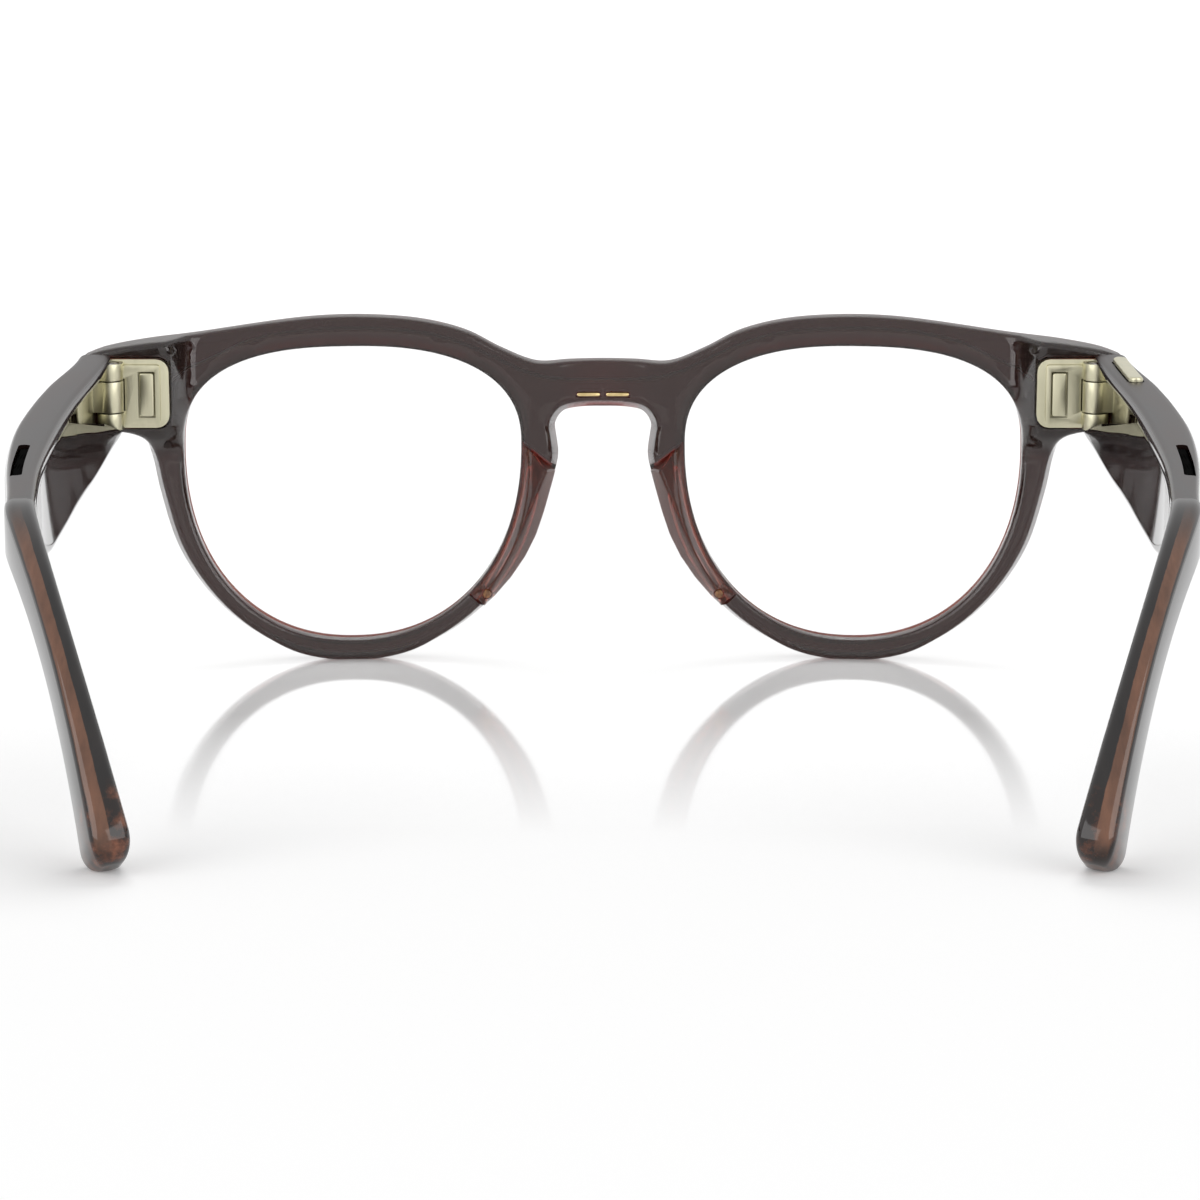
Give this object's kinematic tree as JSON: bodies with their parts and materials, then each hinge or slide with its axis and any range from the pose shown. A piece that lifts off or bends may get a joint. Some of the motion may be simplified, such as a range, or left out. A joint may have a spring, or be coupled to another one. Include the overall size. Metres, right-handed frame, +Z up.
{
  "type": "smart glasses",
  "caption": "Smart glasses with a glossy dark moulded front, clear lenses, keyhole bridge, thick folding temples that house the electronics, metal hinges and bent tips.",
  "frame": {"origin": "centre of the part's box on the surface that it stands on, with the temples open", "axes": "+X to the wearer's right, +Y forwards out of the front, +Z up"},
  "size_m": [0.1548, 0.151, 0.0497],
  "materials": {
    "frame_plastic": "glossy dark grey-brown acetate-like plastic, translucent at thin edges",
    "cover_plastic": "glossy dark brown plastic",
    "tip_plastic": "glossy layered brown and dark grey plastic",
    "lens_clear": "clear, polished",
    "pad_plastic": "satin translucent brown plastic",
    "hinge_metal": "pale champagne-coloured plated metal",
    "gold_contact": "polished gold plating",
    "screw_steel": "turned steel",
    "window_glass": "dark glossy window",
    "black_plastic": "black",
    "board_green": "circuit board",
    "flex_amber": "flexible circuit",
    "cell_silver": "metal can or foil pouch"
  },
  "bodies": {
    "front": {"camera_module": "black_plastic", "camera_window": "window_glass", "capture_light": "board_green", "capture_light_window": "window_glass", "charging_contact_left": "gold_contact", "charging_contact_right": "gold_contact", "front_flex": "flex_amber", "front_frame": "frame_plastic", "hinge_cover_left": "hinge_metal", "hinge_cover_right": "hinge_metal", "hinge_front_plate_left": "hinge_metal", "hinge_front_plate_right": "hinge_metal", "hinge_screw_left": "screw_steel", "hinge_screw_right": "screw_steel", "lens_left": "lens_clear", "lens_right": "lens_clear", "nose_pad_left": "pad_plastic", "nose_pad_pin_left": "gold_contact", "nose_pad_pin_right": "gold_contact", "nose_pad_right": "pad_plastic"},
    "temple_left": {"battery": "cell_silver", "charge_board": "board_green", "hinge_temple_plate_left": "hinge_metal", "microphone_left": "cell_silver", "power_switch_base": "black_plastic", "speaker_grille_left": "black_plastic", "speaker_left": "black_plastic", "temple_cover_left": "cover_plastic", "temple_shell_left": "frame_plastic", "temple_tip_left": "tip_plastic", "tip_core_left": "screw_steel"},
    "temple_right": {"capture_switch": "black_plastic", "hinge_temple_plate_right": "hinge_metal", "main_board": "board_green", "microphone_right": "cell_silver", "processor_shield": "cell_silver", "speaker_grille_right": "black_plastic", "speaker_right": "black_plastic", "temple_cover_right": "cover_plastic", "temple_shell_right": "frame_plastic", "temple_tip_right": "tip_plastic", "tip_core_right": "screw_steel", "touch_sensor": "flex_amber"},
    "power_switch": {"power_switch_knob": "black_plastic"},
    "capture_button": {"capture_button": "hinge_metal"}
  },
  "joints": [
    {"name": "temple_left_fold", "type": "hinge", "parent": "front", "child": "temple_left", "pos_m": [-0.07, 0.05868, 0.0395], "axis": [0, -0.0611, 0.9981], "range_deg": [0, 84]},
    {"name": "temple_right_fold", "type": "hinge", "parent": "front", "child": "temple_right", "pos_m": [0.07, 0.05868, 0.0395], "axis": [0, 0.0611, -0.9981], "range_deg": [0, 65]},
    {"name": "capture_button_press", "type": "slide", "parent": "temple_right", "child": "capture_button", "axis": [-0.0017, 0.061, -0.9981], "range_m": [0, 0.0003], "stiffness_N_per_m": 300},
    {"name": "power_switch_slide", "type": "slide", "parent": "temple_left", "child": "power_switch", "axis": [-0.0129, -0.9981, -0.061], "range_m": [0, 0.003]}
  ]
}
